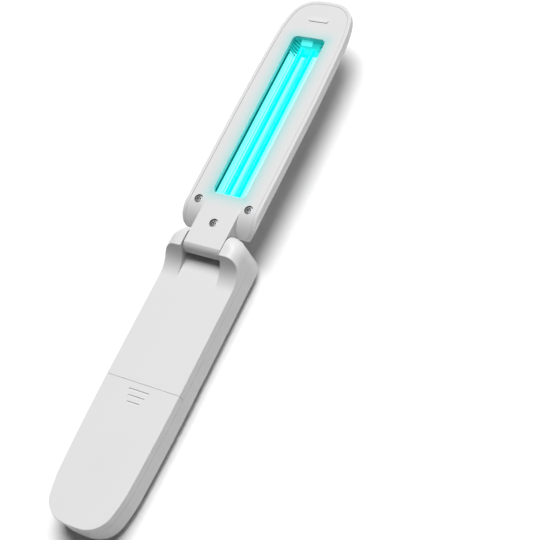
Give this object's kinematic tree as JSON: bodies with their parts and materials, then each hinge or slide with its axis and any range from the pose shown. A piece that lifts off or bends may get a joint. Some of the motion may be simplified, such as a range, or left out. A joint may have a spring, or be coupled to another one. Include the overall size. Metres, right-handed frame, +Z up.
{
  "type": "folding uv sterilization lamp",
  "caption": "Folding hand-held ultraviolet wand: a flat round-ended handle with a battery door and push button, and a hinged head with twin tubes in a reflector window.",
  "frame": {"origin": "centre of the open wand's bounding box at its lowest level, 1.6 mm from the fold hinge towards the lamp", "axes": "+X along the open wand towards the lamp, +Z up, away from the surface that the back of the handle lies on"},
  "size_m": [0.2644, 0.038, 0.0243],
  "materials": {
    "handle_inner_shell": "fine satin white ABS moulding",
    "handle_outer_shell": "white ABS moulding, semi gloss",
    "back_cover": "high gloss white moulding",
    "button_bezel": "light grey gloss ring",
    "power_button_cap": "white gloss cap",
    "power_symbol": "translucent cyan light guide",
    "switch_plunger": "black nylon",
    "push_switch": "black moulded switch body",
    "main_board": "green glass-epoxy board",
    "board_screws": "zinc plated",
    "inverter_transformer": "varnished winding on a ferrite core",
    "storage_capacitor": "dark sleeve",
    "tilt_switch": "plain can",
    "indicator_led": "clear",
    "battery_door": "fine satin white ABS moulding",
    "battery_tray": "natural ABS moulding",
    "battery_cell_1": "plain printed steel can",
    "battery_cell_2": "plain printed steel can",
    "battery_cell_3": "plain printed steel can",
    "battery_contacts": "nickel plated spring strip",
    "hinge_pins": "turned hollow pins",
    "hinge_bushes": "turned",
    "friction_washers": "spring steel",
    "head_outer_shell": "white ABS moulding, semi gloss",
    "head_inner_plate": "fine satin white ABS moulding",
    "fold_bumper": "soft white silicone pad",
    "face_screws": "plain steel, cross recess",
    "reflector": "bright anodised sheet",
    "lamp_tubes": "clear quartz lit from inside",
    "lamp_base": "plain",
    "lamp_pins": "plain wire",
    "lamp_socket": "heat resistant moulding",
    "handle_lead": "two-core sleeve",
    "head_lead": "two-core sleeve"
  },
  "bodies": {
    "handle": {"handle_inner_shell": "handle_inner_shell", "handle_outer_shell": "handle_outer_shell", "back_cover": "back_cover", "button_bezel": "button_bezel", "push_switch": "push_switch", "main_board": "main_board", "board_screws": "board_screws", "inverter_transformer": "inverter_transformer", "storage_capacitor": "storage_capacitor", "tilt_switch": "tilt_switch", "indicator_led": "indicator_led", "battery_tray": "battery_tray", "battery_cell_1": "battery_cell_1", "battery_cell_2": "battery_cell_2", "battery_cell_3": "battery_cell_3", "battery_contacts": "battery_contacts", "hinge_pins": "hinge_pins", "friction_washers": "friction_washers", "handle_lead": "handle_lead"},
    "head": {"head_outer_shell": "head_outer_shell", "head_inner_plate": "head_inner_plate", "fold_bumper": "fold_bumper", "face_screws": "face_screws", "reflector": "reflector", "lamp_tubes": "lamp_tubes", "lamp_base": "lamp_base", "lamp_pins": "lamp_pins", "lamp_socket": "lamp_socket", "hinge_bushes": "hinge_bushes", "head_lead": "head_lead"},
    "button": {"power_button_cap": "power_button_cap", "power_symbol": "power_symbol", "switch_plunger": "switch_plunger"},
    "door": {"battery_door": "battery_door"}
  },
  "joints": [
    {"name": "head_fold", "type": "hinge", "parent": "handle", "child": "head", "pos_m": [-0.0016, 0, 0.01995], "axis": [0, -1, 0], "range_deg": [0, 180]},
    {"name": "button_press", "type": "slide", "parent": "handle", "child": "button", "axis": [0, 0, 1], "range_m": [0, 0.0005], "stiffness_N_per_m": 2400, "springref_m": -0.0001},
    {"name": "door_slide", "type": "slide", "parent": "handle", "child": "door", "axis": [-1, 0, 0], "range_m": [0, 0.072]}
  ]
}
